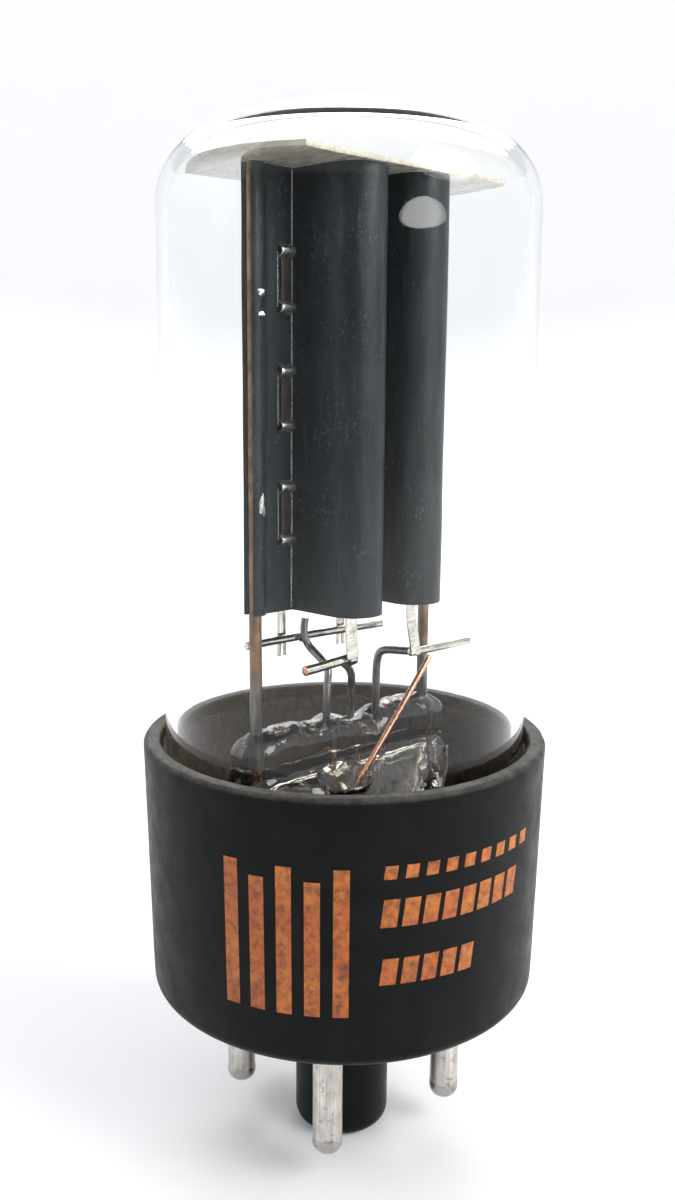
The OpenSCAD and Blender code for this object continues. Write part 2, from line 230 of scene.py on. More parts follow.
def sweep(path, section, side=(1, 0, 0)):
    """Carries section(share of the path) along a path; side says where its first axis points."""
    rings, across = [], Vector(side)
    for i, p in enumerate(path):
        ahead = (path[min(i + 1, len(path) - 1)] - path[max(i - 1, 0)]).normalized()
        across = (across - ahead * across.dot(ahead)).normalized()
        up = ahead.cross(across)
        share = i / (len(path) - 1)
        rings.append([p + across * u + up * v for u, v in section(share)])
    return loft(rings)


def wire(points, r, steps=20, cuts=3, rough=0.02, seed=1.0, round_end=0.35):
    """A bent wire with rounded ends and the small unevenness of a hand-bent one."""
    path = bent(points, cuts, 0.5)
    length = sum((b - a).length for a, b in zip(path, path[1:]))

    def section(share):
        edge = min(share, 1 - share) * length
        fall = min(1.0, edge / (round_end * r)) if round_end else 1.0
        now = r * (0.82 + 0.18 * math.sqrt(fall)) if fall < 1 else r
        out = []
        for j in range(steps):
            a = TAU * j / steps
            lump = 1 + rough * jitter((share * length, math.cos(a), math.sin(a)), 0.9, seed)
            out.append((now * lump * math.cos(a), now * lump * math.sin(a)))
        return out

    ends = [path[0].lerp(path[1], 0.2), path[-1].lerp(path[-2], 0.2)]
    side = (0, 0, 1) if abs((path[-1] - path[0]).normalized().z) < 0.8 else (1, 0, 0)
    return sweep([path[0], ends[0], *path[1:-1], ends[1], path[-1]], section, side)


def strip(points, width, thick, seed=0.0, cuts=3):
    """A flattened strip of metal with rounded edges. width may be a function of the share along it."""
    steps = 20

    def section(share):
        w, t = (width(share) if callable(width) else width) / 2, thick / 2
        out = []
        for j in range(steps):
            a = TAU * j / steps
            u, v = w * squarer(math.cos(a), 0.55), t * squarer(math.sin(a), 0.8)
            bow = 0.12 * t * jitter((u * 2, share * 9, 0), 1.0, seed)
            out.append((u, v + bow))
        return out

    return sweep(bent(points, cuts, 0.3), section)


def blob(centre, radii, seed=0.0, lumpy=0.12, steps=20):
    """A small lump, as a drop of weld."""
    rings = []
    for i in range(1, steps // 2):
        polar = math.pi * i / (steps // 2)
        ring = []
        for j in range(steps):
            a = TAU * j / steps
            d = Vector((math.sin(polar) * math.cos(a), math.sin(polar) * math.sin(a), math.cos(polar)))
            grow = 1 + lumpy * jitter(d, 1.7, seed)
            ring.append([centre[k] + d[k] * radii[k] * grow for k in range(3)])
        rings.append(ring)
    return loft(rings)


# ---- materials -------------------------------------------------------------


class Paint:
    """A procedural material. Its noises are laid out in millimetres of the object."""

    def __init__(self, name):
        self.material = bpy.data.materials.new(name)
        self.material.use_nodes = True
        self.tree = self.material.node_tree
        self.tree.nodes.clear()
        self.out = self.tree.nodes.new("ShaderNodeOutputMaterial")
        self.shader = self.tree.nodes.new("ShaderNodeBsdfPrincipled")
        self.tree.links.new(self.shader.outputs[0], self.out.inputs[0])
        self.place = self.tree.nodes.new("ShaderNodeTexCoord").outputs["Object"]

    def node(self, kind, **settings):
        n = self.tree.nodes.new("ShaderNode" + kind)
        for key, value in settings.items():
            setattr(n, key, value)
        return n

    def link(self, source, target):
        if isinstance(source, bpy.types.NodeSocket):
            self.tree.links.new(source, target)
        else:
            target.default_value = source

    def set(self, **values):
        """Sets sockets of the shader, with _ for a space in their names."""
        for name, value in values.items():
            self.link(value, self.shader.inputs[name.replace("_", " ")])
        return self

    def spot(self, stretch=(1, 1, 1)):
        m = self.node("Mapping")
        self.link(self.place, m.inputs["Vector"])
        m.inputs["Scale"].default_value = [s / MM for s in stretch]
        return m.outputs[0]

    def noise(self, scale, detail=4, rough=0.55, stretch=(1, 1, 1), bend=0.0):
        n = self.node("TexNoise")
        self.link(self.spot(stretch), n.inputs["Vector"])
        values = {"Scale": scale, "Detail": detail, "Roughness": rough, "Distortion": bend}
        for key, value in values.items():
            n.inputs[key].default_value = value
        return n.outputs["Fac"]

    def ramp(self, value, *stops):
        """Colours or greys by value: stops are (position, grey or (r, g, b))."""
        r = self.node("ValToRGB")
        self.link(value, r.inputs["Fac"])
        marks = r.color_ramp.elements
        while len(marks) < len(stops):
            marks.new(0.5)
        for mark, (position, _) in zip(marks, stops):
            mark.position = position
        for mark, (_, colour) in zip(marks, stops):
            rgb = (colour,) * 3 if isinstance(colour, (int, float)) else colour
            mark.color = (*rgb, 1)
        return r.outputs["Color"]

    def mix(self, share, a, b, way="MIX"):
        m = self.node("Mix", data_type="RGBA", blend_type=way)
        self.link(share, m.inputs[0])
        for value, socket in ((a, m.inputs[6]), (b, m.inputs[7])):
            self.link(value if isinstance(value, bpy.types.NodeSocket) else (*value, 1), socket)
        return m.outputs[2]

    def math(self, way, a, b=0.0):
        m = self.node("Math", operation=way)
        self.link(a, m.inputs[0])
        self.link(b, m.inputs[1])
        return m.outputs[0]

    def height(self):
        """Height above the seat in millimetres."""
        split = self.node("SeparateXYZ")
        self.link(self.spot(), split.inputs[0])
        return split.outputs[2]

    def radius(self):
        """Distance from the tube's axis in millimetres, on a piece that isn't turned."""
        split = self.node("SeparateXYZ")
        self.link(self.spot(), split.inputs[0])
        x2, y2 = (self.math("POWER", self.math("ABSOLUTE", split.outputs[i]), 2.0) for i in (0, 1))
        return self.math("SQRT", self.math("ADD", x2, y2))

    def between(self, value, low, high):
        """0 at low and 1 at high, clamped."""
        m = self.node("MapRange")
        self.link(value, m.inputs["Value"])
        m.inputs["From Min"].default_value = low
        m.inputs["From Max"].default_value = high
        return m.outputs[0]

    def bump(self, height, depth, strength=1.0):
        """Bump of that depth in millimetres."""
        b = self.node("Bump")
        b.inputs["Strength"].default_value = strength
        b.inputs["Distance"].default_value = depth * MM
        self.link(height, b.inputs["Height"])
        self.link(b.outputs[0], self.shader.inputs["Normal"])
        return self

    def clear_to_lamps(self, tint):
        """Rays from a lamp pass the glass straight, tinted, so that it casts only a faint shadow."""
        path = self.node("LightPath")
        clear = self.node("BsdfTransparent")
        clear.inputs["Color"].default_value = (*tint, 1)
        choose = self.node("MixShader")
        self.link(path.outputs["Is Shadow Ray"], choose.inputs[0])
        self.link(self.shader.outputs[0], choose.inputs[1])
        self.link(clear.outputs[0], choose.inputs[2])
        self.link(choose.outputs[0], self.out.inputs[0])
        return self


def bulb_glass():
    p = Paint("bulb_glass")
    smudge = p.noise(0.16, 5, 0.6, bend=1.5)
    p.set(
        Base_Color=p.ramp(smudge, (0.3, (0.985, 0.99, 0.99)), (0.8, (0.95, 0.965, 0.965))),
        Transmission_Weight=1.0,
        IOR=1.26,  # a look: real glass has about 1.5, which outlines the bulb more than the photo
        Roughness=p.ramp(smudge, (0.45, 0.0), (0.75, 0.035)),
    )
    p.bump(p.noise(0.05, 1), 0.12, 0.35)
    return p.clear_to_lamps((0.97, 0.98, 0.98)).material


def stem_glass():
    p = Paint("stem_glass")
    p.set(
        Base_Color=p.ramp(p.noise(0.35, 4), (0.3, (0.93, 0.89, 0.82)), (0.75, (0.8, 0.74, 0.65))),
        Transmission_Weight=1.0,
        IOR=1.56,
        Roughness=p.ramp(p.noise(0.9, 3), (0.5, 0.0), (0.85, 0.04)),
    )
    p.bump(p.noise(0.55, 3, 0.5, bend=0.8), 0.14, 0.5)
    return p.clear_to_lamps((0.9, 0.89, 0.87)).material


def moulded_base():
    p = Paint("moulded_base")
    mottle = p.noise(0.35, 6, 0.62)
    grain = p.noise(5.0, 4, 0.6)
    dust = p.ramp(p.noise(2.6, 6, 0.75), (0.66, 0.0), (0.74, 1.0))
    body = p.ramp(mottle, (0.3, (0.0024, 0.0029, 0.0028)), (0.75, (0.0066, 0.007, 0.0065)))
    speck = p.mix(p.math("MULTIPLY", dust, 0.12), body, (0.12, 0.115, 0.1))
    in_bore = p.between(p.radius(), BORE_R + 0.25, BORE_R + 0.05)
    inside = p.math("MULTIPLY", in_bore, p.between(p.height(), 1.5, 2.2))
    baked = p.ramp(p.noise(0.5, 6, 0.7), (0.35, (0.012, 0.008, 0.005)), (0.7, (0.062, 0.038, 0.02)))
    rim = p.between(p.height(), BASE_TOP - 0.4, BASE_TOP - 0.1)
    worn = p.math("MULTIPLY", rim, p.ramp(p.noise(1.3, 5, 0.65), (0.3, 0.25), (0.62, 1.0)))
    p.set(
        Base_Color=p.mix(inside, p.mix(worn, speck, (0.07, 0.066, 0.057)), baked),
        Roughness=p.ramp(p.noise(0.5, 5, 0.6), (0.3, 0.34), (0.75, 0.52)),
        Specular_IOR_Level=0.1,
    )
    scratch = p.noise(1.1, 3, 0.5, stretch=(1, 1, 9))
    return p.bump(p.math("ADD", grain, p.math("MULTIPLY", scratch, 0.4)), 0.02, 0.5).material


def print_ink():
    p = Paint("print_ink")
    wear = p.ramp(p.noise(1.7, 6, 0.7), (0.42, 1.0), (0.68, 0.18))
    tone = p.ramp(p.height(), (0.0, (0.46, 0.075, 0.009)), (1.0, (0.5, 0.15, 0.012)))
    fade = p.ramp(p.noise(0.22, 3), (0.35, (0.34, 0.05, 0.01)), (0.7, (0.56, 0.18, 0.014)))
    ink = p.mix(0.7, tone, fade)
    p.set(Base_Color=p.mix(wear, (0.03, 0.013, 0.006), ink))
    p.set(Roughness=p.ramp(p.noise(2.0, 4), (0.3, 0.42), (0.7, 0.62)))
    return p.bump(p.noise(6.0, 3), 0.01, 0.4).material


def cement():
    p = Paint("cement")
    grit = p.noise(2.2, 7, 0.7)
    dark, brown, pale = (0.012, 0.007, 0.004), (0.035, 0.021, 0.012), (0.1, 0.07, 0.045)
    p.set(
        Base_Color=p.ramp(grit, (0.3, dark), (0.55, brown), (0.78, pale)),
        Roughness=p.ramp(grit, (0.3, 0.95), (0.7, 0.7)),
    )
    return p.bump(grit, 0.2, 0.9).material


def metal(name, dark, light, rough, grain=(1, 1, 0.06), grain_scale=7.0, stain=None, depth=0.012):
    """A drawn or rolled metal: grain is stretched along the way it was drawn."""
    p = Paint(name)
    lines = p.noise(grain_scale, 5, 0.65, stretch=grain)
    cloud = p.noise(0.7, 4, 0.6)
    drawn, dull = p.ramp(lines, (0.25, 0.0), (0.75, 1.0)), p.ramp(cloud, (0.25, 0.0), (0.8, 1.0))
    colour = p.ramp(p.mix(0.45, drawn, dull), (0.15, dark), (0.85, light))
    if stain:
        spots = p.ramp(p.noise(1.6, 6, 0.7), (0.56, 0.0), (0.7, 0.8))
        colour = p.mix(spots, colour, stain)
    p.set(
        Base_Color=colour,
        Metallic=1.0,
        Roughness=p.ramp(lines, (0.25, rough[0]), (0.8, rough[1])),
    )
    return p.bump(lines, depth, 0.5).material


def dark_plate():
    p = Paint("dark_plate")
    streak = p.noise(1.6, 6, 0.7, stretch=(1, 1, 0.16))
    speck = p.ramp(p.noise(5.0, 6, 0.8, stretch=(1, 1, 0.8)), (0.57, 0.0), (0.67, 1.0))
    patch = p.ramp(p.noise(0.3, 4, 0.6), (0.42, 0.1), (0.7, 0.6))
    black, blue_black, grey = (0.002, 0.004, 0.005), (0.0055, 0.0105, 0.0125), (0.022, 0.034, 0.038)
    carbon = p.ramp(streak, (0.34, black), (0.55, blue_black), (0.74, grey))
    p.set(
        Base_Color=p.mix(p.math("MULTIPLY", speck, patch), carbon, (0.3, 0.34, 0.35)),
        Roughness=p.ramp(streak, (0.3, 0.36), (0.75, 0.5)),
        Specular_IOR_Level=0.3,
    )
    return p.bump(p.noise(6.0, 5, 0.7, stretch=(1, 1, 0.3)), 0.003, 0.25).material


def bright_metal_and_painted_highlight():
    p = Paint("bright_metal_and_painted_highlight")
    # Bright metal that is partly real bare sheet and partly painted highlight, on the plates' creases, lance
    # ends, slot edges and weld spots.
    wear = p.noise(2.4, 5, 0.7)
    dull, mid_bright, bright = (0.13, 0.125, 0.12), (0.62, 0.62, 0.6), (0.85, 0.85, 0.83)
    p.set(
        Base_Color=p.ramp(wear, (0.35, dull), (0.55, mid_bright), (0.8, bright)),
        Metallic=1.0,
        Roughness=p.ramp(wear, (0.3, 0.45), (0.7, 0.18)),
    )
    return p.bump(wear, 0.04, 0.6).material


def dark_strap_and_slot_shade():
    p = Paint("dark_strap_and_slot_shade")
    # Dark brown for the strap's middle; on the slot panels it is painted shade.
    cloud = p.noise(1.5, 5, 0.6)
    p.set(
        Base_Color=p.ramp(cloud, (0.3, (0.007, 0.006, 0.0045)), (0.75, (0.028, 0.022, 0.015))),
        Specular_IOR_Level=0.3,
        Roughness=p.ramp(cloud, (0.3, 0.5), (0.7, 0.35)),
    )
    return p.bump(cloud, 0.03, 0.5).material


def support_rod():
    p = Paint("support_rod")
    lines = p.noise(6.0, 5, 0.6, stretch=(1, 1, 0.08))
    cloud = p.noise(0.9, 5, 0.6)
    heat = p.between(p.height(), 23.5, 30.0)
    cool = p.ramp(lines, (0.25, (0.06, 0.062, 0.06)), (0.75, (0.24, 0.24, 0.225)))
    warm = p.ramp(cloud, (0.25, (0.09, 0.055, 0.035)), (0.75, (0.3, 0.2, 0.13)))
    uneven = p.ramp(p.math("ADD", heat, p.math("MULTIPLY", cloud, 0.5)), (0.35, 0.0), (0.8, 1.0))
    p.set(
        Base_Color=p.mix(uneven, cool, warm),
        Metallic=1.0,
        Roughness=p.ramp(lines, (0.25, 0.26), (0.8, 0.44)),
    )
    return p.bump(p.noise(3.0, 5, 0.6), 0.02, 0.5).material


def mica():
    p = Paint("mica")
    cloud = p.noise(0.35, 6, 0.65)
    flake = p.noise(1.3, 5, 0.7, stretch=(1, 0.25, 1))
    p.set(
        Base_Color=p.ramp(cloud, (0.3, (0.4, 0.36, 0.28)), (0.75, (0.64, 0.59, 0.49))),
        Transmission_Weight=0.12,
        IOR=1.58,
        Roughness=p.ramp(flake, (0.3, 0.16), (0.75, 0.42)),
        Coat_Weight=0.4,
    )
    return p.bump(flake, 0.03, 0.5).material


def oxide():
    p = Paint("oxide_coating")
    chalk = p.noise(4.0, 6, 0.7)
    p.set(
        Base_Color=p.ramp(chalk, (0.3, (0.62, 0.61, 0.56)), (0.7, (0.86, 0.85, 0.82))),
        Roughness=p.ramp(chalk, (0.3, 0.95), (0.7, 0.8)),
    )
    return p.bump(chalk, 0.04, 0.8).material


MATERIALS = {
    "bulb_glass": bulb_glass(),
    "stem_glass": stem_glass(),
    "moulded_base": moulded_base(),
    "cement": cement(),
    "pin_plate": metal("pin_plate", (0.34, 0.31, 0.285), (0.86, 0.82, 0.77), (0.34, 0.55),
                       grain=(1, 1, 0.05), grain_scale=4.0, stain=(0.17, 0.15, 0.13), depth=0.03),
    "solder": metal("solder", (0.3, 0.29, 0.28), (0.58, 0.57, 0.55), (0.26, 0.42),
                    grain=(1, 1, 1), grain_scale=1.6, stain=(0.13, 0.12, 0.11), depth=0.05),
    "lead_wire": metal("lead_wire", (0.3, 0.27, 0.23), (0.62, 0.58, 0.52), (0.25, 0.45)),
    "copper": metal("copper", (0.4, 0.15, 0.07), (0.86, 0.48, 0.3), (0.16, 0.36),
                    grain=(1, 1, 0.3), grain_scale=5.0),
    "dark_plate": dark_plate(),
    "support_rod": support_rod(),
    "mica": mica(),
    "oxide_coating": oxide(),
    "nickel": metal("nickel", (0.33, 0.3, 0.25), (0.86, 0.83, 0.76), (0.1, 0.28),
                    grain=(0.08, 1, 1), stain=(0.2, 0.17, 0.13)),
    "dark_nickel": metal("dark_nickel", (0.09, 0.085, 0.085), (0.34, 0.32, 0.31), (0.22, 0.42),
                         grain=(1, 1, 0.15), grain_scale=5.0),
}
BRIGHT_METAL_AND_HIGHLIGHT = bright_metal_and_painted_highlight()
INK = print_ink()
DARK_STRAP_AND_SLOT_SHADE = dark_strap_and_slot_shade()


# ---- bulb and stem ---------------------------------------------------------

WALL = 0.85
SHOULDER_R, CROWN_R = 5.5, 26.0


def dome(wall):
    """Profile of the dome, from the straight wall up to the axis."""
    cx, cc = BULB_R - SHOULDER_R, BULB_TOP - CROWN_R
    cz = cc + math.sqrt((CROWN_R - SHOULDER_R) ** 2 - cx * cx)
    meet = math.degrees(math.atan2(cz - cc, cx))
    rim = arc((cx, cz), SHOULDER_R - wall, 0, meet, 24)
    crown = arc((0, cc), CROWN_R - wall, meet, 90, 24)
    return rim + crown[1:-1] + [(0.0, crown[-1][1])]


def make_bulb():
    neck_r, full = BULB_R - 2.3, BULB_FOOT + 4.8  # the bulb is at its full width from there up
    outer = [(neck_r, BULB_FOOT), (neck_r + 0.9, BULB_FOOT), (BULB_R - 0.3, BULB_FOOT + 3.6), (BULB_R, full)]
    inner = [(neck_r, BULB_FOOT + 1.4), (BULB_R - WALL - 0.3, BULB_FOOT + 3.8), (BULB_R - WALL, full)]
    rise = [full + 3.2 * i for i in range(1, 15)]
    outer += [(BULB_R, z) for z in rise] + dome(0)
    inner += [(BULB_R - WALL, z) for z in rise] + dome(WALL)
    shape = turned(outer + inner[::-1], 192)

    def draw_waves(v):
        if v.z >= BULB_TOP - 6:
            return Vector()
        inward = max(0.0, jitter(v, 0.09, 2.0)) * 0.05
        return Vector((-v.x, -v.y, 0)).normalized() * inward

    shape.moved(draw_waves)
    build("bulb", shape, [MATERIALS["bulb_glass"]], ["glass_bulb"])


PRESS_RISE = PRESS_TOP - 4.0  # where the flat press begins
CAVE_TOP = PRESS_RISE - 1.4  # top of the hollow inside the stem
TUBE_END = PRESS_TOP - 10.2
STEM_R = 7.2
FLARE_R = 3.2
STEM_STEPS = 168
WIRES_X = (-2.0, 0.6, 3.5)


def ridge_height(x):
    """Top of the press: high round the rods, low and jagged between the three wires."""
    top = PRESS_TOP - 0.55 + 0.3 * math.exp(-(((abs(x) - ROD_X + 1.4) / 2.6) ** 2))
    top -= 0.55 * math.exp(-(((x - 1.2) / 2.6) ** 2))
    for at in WIRES_X:
        top += 0.42 * math.exp(-(((x - at) / 0.5) ** 2))
    return top + 0.16 * jitter((x, 0, 0), 0.9, 4.0)


def press_depth(x, z):
    """Half depth of the stem's glass front to back, at height z."""
    flat = 1.82 + 0.42 * math.exp(-(((abs(x) - ROD_X) / 1.5) ** 2))
    step = 0.75 / (1 + math.exp((z - (PRESS_RISE - 0.1)) / 0.16))
    foot = max(0.0, PRESS_RISE - 0.25 - z) * 0.9
    return flat + step + foot


def skin_point(a, share):
    """Point of the stem's outside at angle a; share goes from 0 at the tube to 1 at the ridge."""
    power = 1.0 - 0.5 * min(1.0, share * 1.8)
    grown = math.sin(min(1.0, share * 1.45) * math.pi / 2)
    x = (STEM_R + (ROD_X + 1.95 - STEM_R) * grown) * squarer(math.cos(a), power)
    roof = ridge_height(max(-ROD_X - 1.2, min(ROD_X + 1.2, x)))
    z = TUBE_END + (roof - TUBE_END) * share
    depth = min(press_depth(x, z), STEM_R + 0.02)
    near_top = (roof - z) / 1.7
    if near_top < 1:
        depth *= math.sqrt(max(0.0, 1 - (1 - near_top) ** 2))
        x *= 1 - 0.16 * (1 - near_top) ** 2
    return x, depth * squarer(math.sin(a), power), z


def cave_point(a, share):
    """Point of the stem's inside at angle a; share goes from 0 at the tube to 1 under the press."""
    power = 1.0 - 0.35 * share
    half_l = STEM_R - 1.0 + 2.9 * share
    half_w = 0.3 + (STEM_R - 1.3) * (1 - share) ** 0.9
    z = TUBE_END - 0.2 + (CAVE_TOP - TUBE_END) * share
    return half_l * squarer(math.cos(a), power), half_w * squarer(math.sin(a), power), z


def stem_wall(flare, point, levels):
    """One wall of the stem: its flare is turned, and point(angle, share) says the rest."""
    rings = [circle(r, z, STEM_STEPS) for r, z in flare]
    for i in range(1, levels + 1):
        rings.append([point(TAU * j / STEM_STEPS, i / levels) for j in range(STEM_STEPS)])
    return loft(rings, capped=False)


def close_ring(shape, start):
    """Closes the flattened ring of the stem that begins at vertex start, from front to back."""
    n = STEM_STEPS
    faces = []
    for j in range(1, n // 2):
        a, b = start + j, start + j + 1
        c, d = start + (n - j) % n, start + (n - j - 1) % n
        faces.append((a, b, d, c))
    faces.append((start, start + 1, start + n - 1))
    shape.faces += faces
    shape.marks += [0] * len(faces)


def make_stem():
    flare_out = [(BULB_R - 2.35, BULB_FOOT), (BULB_R - 2.35, BULB_FOOT + 0.95)]
    flare_out += arc((STEM_R + FLARE_R, TUBE_END - 2.8), FLARE_R, 250, 180, 8)
    flare_in = [(BULB_R - 3.3, BULB_FOOT)] + arc((STEM_R + 2.2, TUBE_END - FLARE_R), FLARE_R, 250, 180, 8)
    skin, cave = stem_wall(flare_out, skin_point, 44), stem_wall(flare_in, cave_point, 14)
    whole = Shape().join(skin).join(cave)
    n, start = STEM_STEPS, len(skin.verts)
    whole.faces += [(j, (j + 1) % n, start + (j + 1) % n, start + j) for j in range(n)]
    whole.marks += [0] * n
    close_ring(whole, start - n)
    close_ring(whole, len(whole.verts) - n)

    def ripple(v):
        if v.z < TUBE_END + 1 or v.z > PRESS_TOP + 1:
            return Vector()
        strength = 0.16 * min(1.0, (v.z - TUBE_END - 1) / 4)
        return Vector((0.4, math.copysign(1.0, v.y), 0.25)) * strength * jitter(v, 0.75, 9.0)

    whole.moved(ripple)
    build("stem", whole, [MATERIALS["stem_glass"]], ["glass_stem"], ON_STEM, 60)


def make_exhaust():
    tip = Vector((0, 0, box("exhaust_tube")[0].z + 0.2))
    top = Vector((-2.8, -3.0, PRESS_RISE - 0.7))
    reach = (top - tip).length
    profile = [(0.0, 0.0), (0.4, 0.2), (1.0, 1.4), (1.45, 2.9), (1.45, reach - 3.2), (1.6, reach - 1.6)]
    profile += [(2.05, reach - 0.5), (2.3, reach - 0.15), (2.32, reach + 0.08)]
    profile += [(2.15, reach + 0.22), (1.95, reach + 0.1), (1.6, reach - 0.8), (1.1, reach - 2.2)]
    profile += [(1.0, reach - 3.4), (1.0, 3.4), (0.5, 2.2), (0.0, 1.9)]
    shape = turned(profile, 64, closed=False)
    place = Matrix.Translation(tip) @ (top - tip).to_track_quat("Z", "Y").to_matrix().to_4x4()
    shape.verts = [place @ v for v in shape.verts]
    shape.moved(lambda v: Vector((1, 1, 1)) * 0.09 * jitter(v, 0.7, 3.0) if v.z > 12 else Vector())
    build("exhaust", shape, [MATERIALS["stem_glass"]], ["exhaust_tube"], ON_STEM, 60)


# ---- base ------------------------------------------------------------------

FLOOR_T = 2.4
KEY_R = 3.9
RIB_ANGLE, RIB_R, RIB_HALF_W = math.radians(67.5), 4.95, 1.1


def wall_r(z):
    """Radius of the shell's outside at height z."""
    return BASE_LOW_R + (BASE_R - BASE_LOW_R) * z / BASE_TOP


def make_base():
    outer = [(0.0, 0.0), (6.0, 0.0), (11.0, 0.0)] + arc((BASE_LOW_R - 1.0, 1.0), 1.0, -90, 0, 8)
    outer += [(wall_r(z), z) for z in (3, 6, 9, 12, 15, 17.5, 19)]
    rim = arc((BASE_R - 0.42, BASE_TOP - 0.42), 0.42, 0, 90, 7)
    rim += arc((BORE_R + 0.3, BASE_TOP - 0.3), 0.3, 90, 180, 5)
    inside = [(BORE_R, 17.0), (BORE_R, 10.0), (BORE_R, FLOOR_T), (8.0, FLOOR_T), (0.0, FLOOR_T)]
    shape = turned(outer + rim + inside, 256, closed=False)

    def wear(v):
        near_rim = max(0.0, 1 - (BASE_TOP - v.z) / 0.8)
        chip = max(0.0, jitter(v, 1.1, 5.0) - 0.15) * 0.16 + 0.02 * jitter(v, 3.0, 6.0)
        inward = Vector((-v.x, -v.y, -0.8 * v.xy.length)).normalized()
        return inward * max(0.0, chip) * near_rim

    shape.moved(wear)
    shape.join(key_shape())
    build("base", shape, [MATERIALS["moulded_base"]], ["base_shell"])


def key_reach(a, z):
    """Distance from the axis to the key's wall at angle a. The rib stops above the rounded end."""
    turn = (a - RIB_ANGLE + math.pi) % TAU - math.pi
    side = abs(math.sin(turn))
    if z <= KEY_LOW + 1.2 or math.cos(turn) <= 0 or side * KEY_R >= RIB_HALF_W:
        return KEY_R
    return min(RIB_R / math.cos(turn), RIB_HALF_W / max(side, 1e-6))


def key_shape():
    """The key: a round post with a rib, its end rounded over."""
    steps, end_r = 160, 1.1
    levels = [(z, 0.0) for z in (1.0, 0.0, -0.2, -5.0, -9.0)]
    for a in [math.radians(d) for d in (0, 15, 30, 45, 60, 75, 88)]:
        levels.append((KEY_LOW + end_r * (1 - math.sin(a)), end_r * (1 - math.cos(a))))
    rings = []
    for z, inset in levels:
        ring = []
        for a in [TAU * j / steps for j in range(steps)]:
            r = key_reach(a, z) - inset
            ring.append((r * math.cos(a), r * math.sin(a), z))
        rings.append(ring)
    return loft(rings)


def decal(shape, angle, z0, width, height, slant=0.0):
    """One printed bar on the base: a thin film that follows the wall. Angle in degrees."""
    n, m = max(3, math.ceil(width / 0.5)), max(2, math.ceil(height / 1.5))
    front, back = 0.012, -0.03

    def at(u, v, lift):
        z = z0 + height * v
        r = wall_r(z) + lift
        a = math.radians(angle) + (width * (u - 0.5) + slant * (v - 0.5) * height) / BASE_R
        return r * math.cos(a), r * math.sin(a), z

    for lift in (front, back):
        grid = [at(i / n, j / m, lift) for j in range(m + 1) for i in range(n + 1)]
        corners = [j * (n + 1) + i for j in range(m) for i in range(n)]
        shape.add(grid, [(a, a + 1, a + n + 2, a + n + 1) for a in corners])
    ring = [(i / n, 0.0) for i in range(n)] + [(1.0, i / m) for i in range(m)]
    ring += [(1 - i / n, 1.0) for i in range(n)] + [(0.0, 1 - i / m) for i in range(m)]
    k = len(ring)
    edge = [at(u, v, lift) for lift in (front, back) for u, v in ring]
    shape.add(edge, [(i, (i + 1) % k, k + (i + 1) % k, k + i) for i in range(k)])


def make_print():
    """Plain printed bars and dashes in place of the photograph's lettering."""
    shape = Shape()
    for i in range(5):
        decal(shape, FACING - 30 + i * 7.4, 4.2, 1.15, 11.2 - i % 2)
    rows = ((14.6, 1.0, 9, 0.9375), (11.0, 2.1, 8, 1.1875), (6.6, 2.0, 5, 1.1875))
    for z, tall, count, wide in rows:
        for i in range(count):
            decal(shape, FACING + 12 + i * 5.6, z, wide, tall, slant=0.12)
    build("base_print", shape, [INK])


def make_cement():
    low, top = (corner.z for corner in box("basing_cement"))
    profile = [(BULB_R, low), (BORE_R, low), (BORE_R, top - 0.4), (BORE_R - 0.02, top)]
    profile += [(BORE_R - 0.2, top + 0.05), (BULB_R + 0.1, top), (BULB_R, top - 0.3)]
    shape = turned(profile, 256)

    def lumps(v):
        return Vector((0, 0, 0.35 * jitter(v, 0.8, 1.0) - 0.2)) if v.z > top - 0.35 else Vector()

    shape.moved(lumps)
    build("cement", shape, [MATERIALS["cement"]], ["basing_cement"])


def pin_body(top, seed):
    """A pin on the Z axis: its head above the shell's floor, and the shank to its tip."""
    r, head_r = PIN_R - 0.02, 1.75
    profile = [(0.0, top), (head_r - 0.1, top), (head_r, top - 0.12), (head_r, FLOOR_T), (r, FLOOR_T)]
    profile += [(r, -2.0 * i) for i in range(6)]
    profile += [(r - 0.02, PIN_LOW + 0.6), (r - 0.3, PIN_LOW), (0.0, PIN_LOW)]
    pin = turned(profile, 48, closed=False)
    return pin.moved(lambda v: Vector((v.x, v.y, 0)) * 0.012 * jitter(v, 0.6, seed) if v.z < 0 else Vector())


def solder_cap(spot, seed):
    """Solder over a pin's end: an uneven collar that closes to a round tip."""
    steps, levels, collar = 40, 12, 0.34  # the collar takes that share of the levels
    collar_low = PIN_LOW + 0.75
    rings = []
    for t in [i / levels for i in range(levels + 1)]:
        ring = []
        for a in [TAU * j / steps for j in range(steps)]:
            if t < collar:
                edge = PIN_LOW + 1.15 + 0.32 * jitter((math.cos(a), math.sin(a), 0), 1.2, seed)
                z = edge + (collar_low - edge) * t / collar
                r = PIN_R - 0.035 + 0.05 * min(1.0, t / 0.1)
            else:
                b = (t - collar) / (1 - collar) * math.pi / 2
                z = collar_low + (SOLDER_LOW - collar_low) * math.sin(b)
                r = (PIN_R + 0.015) * math.cos(b) ** 0.85 + 0.02
            ring.append((spot.x + r * math.cos(a), spot.y + r * math.sin(a), z))
        rings.append(ring)
    cap = loft(rings)
    return cap.moved(lambda v: Vector((0.03 * jitter(v, 1.4, 1.0), 0.03 * jitter(v, 1.4, 8.0), 0)))


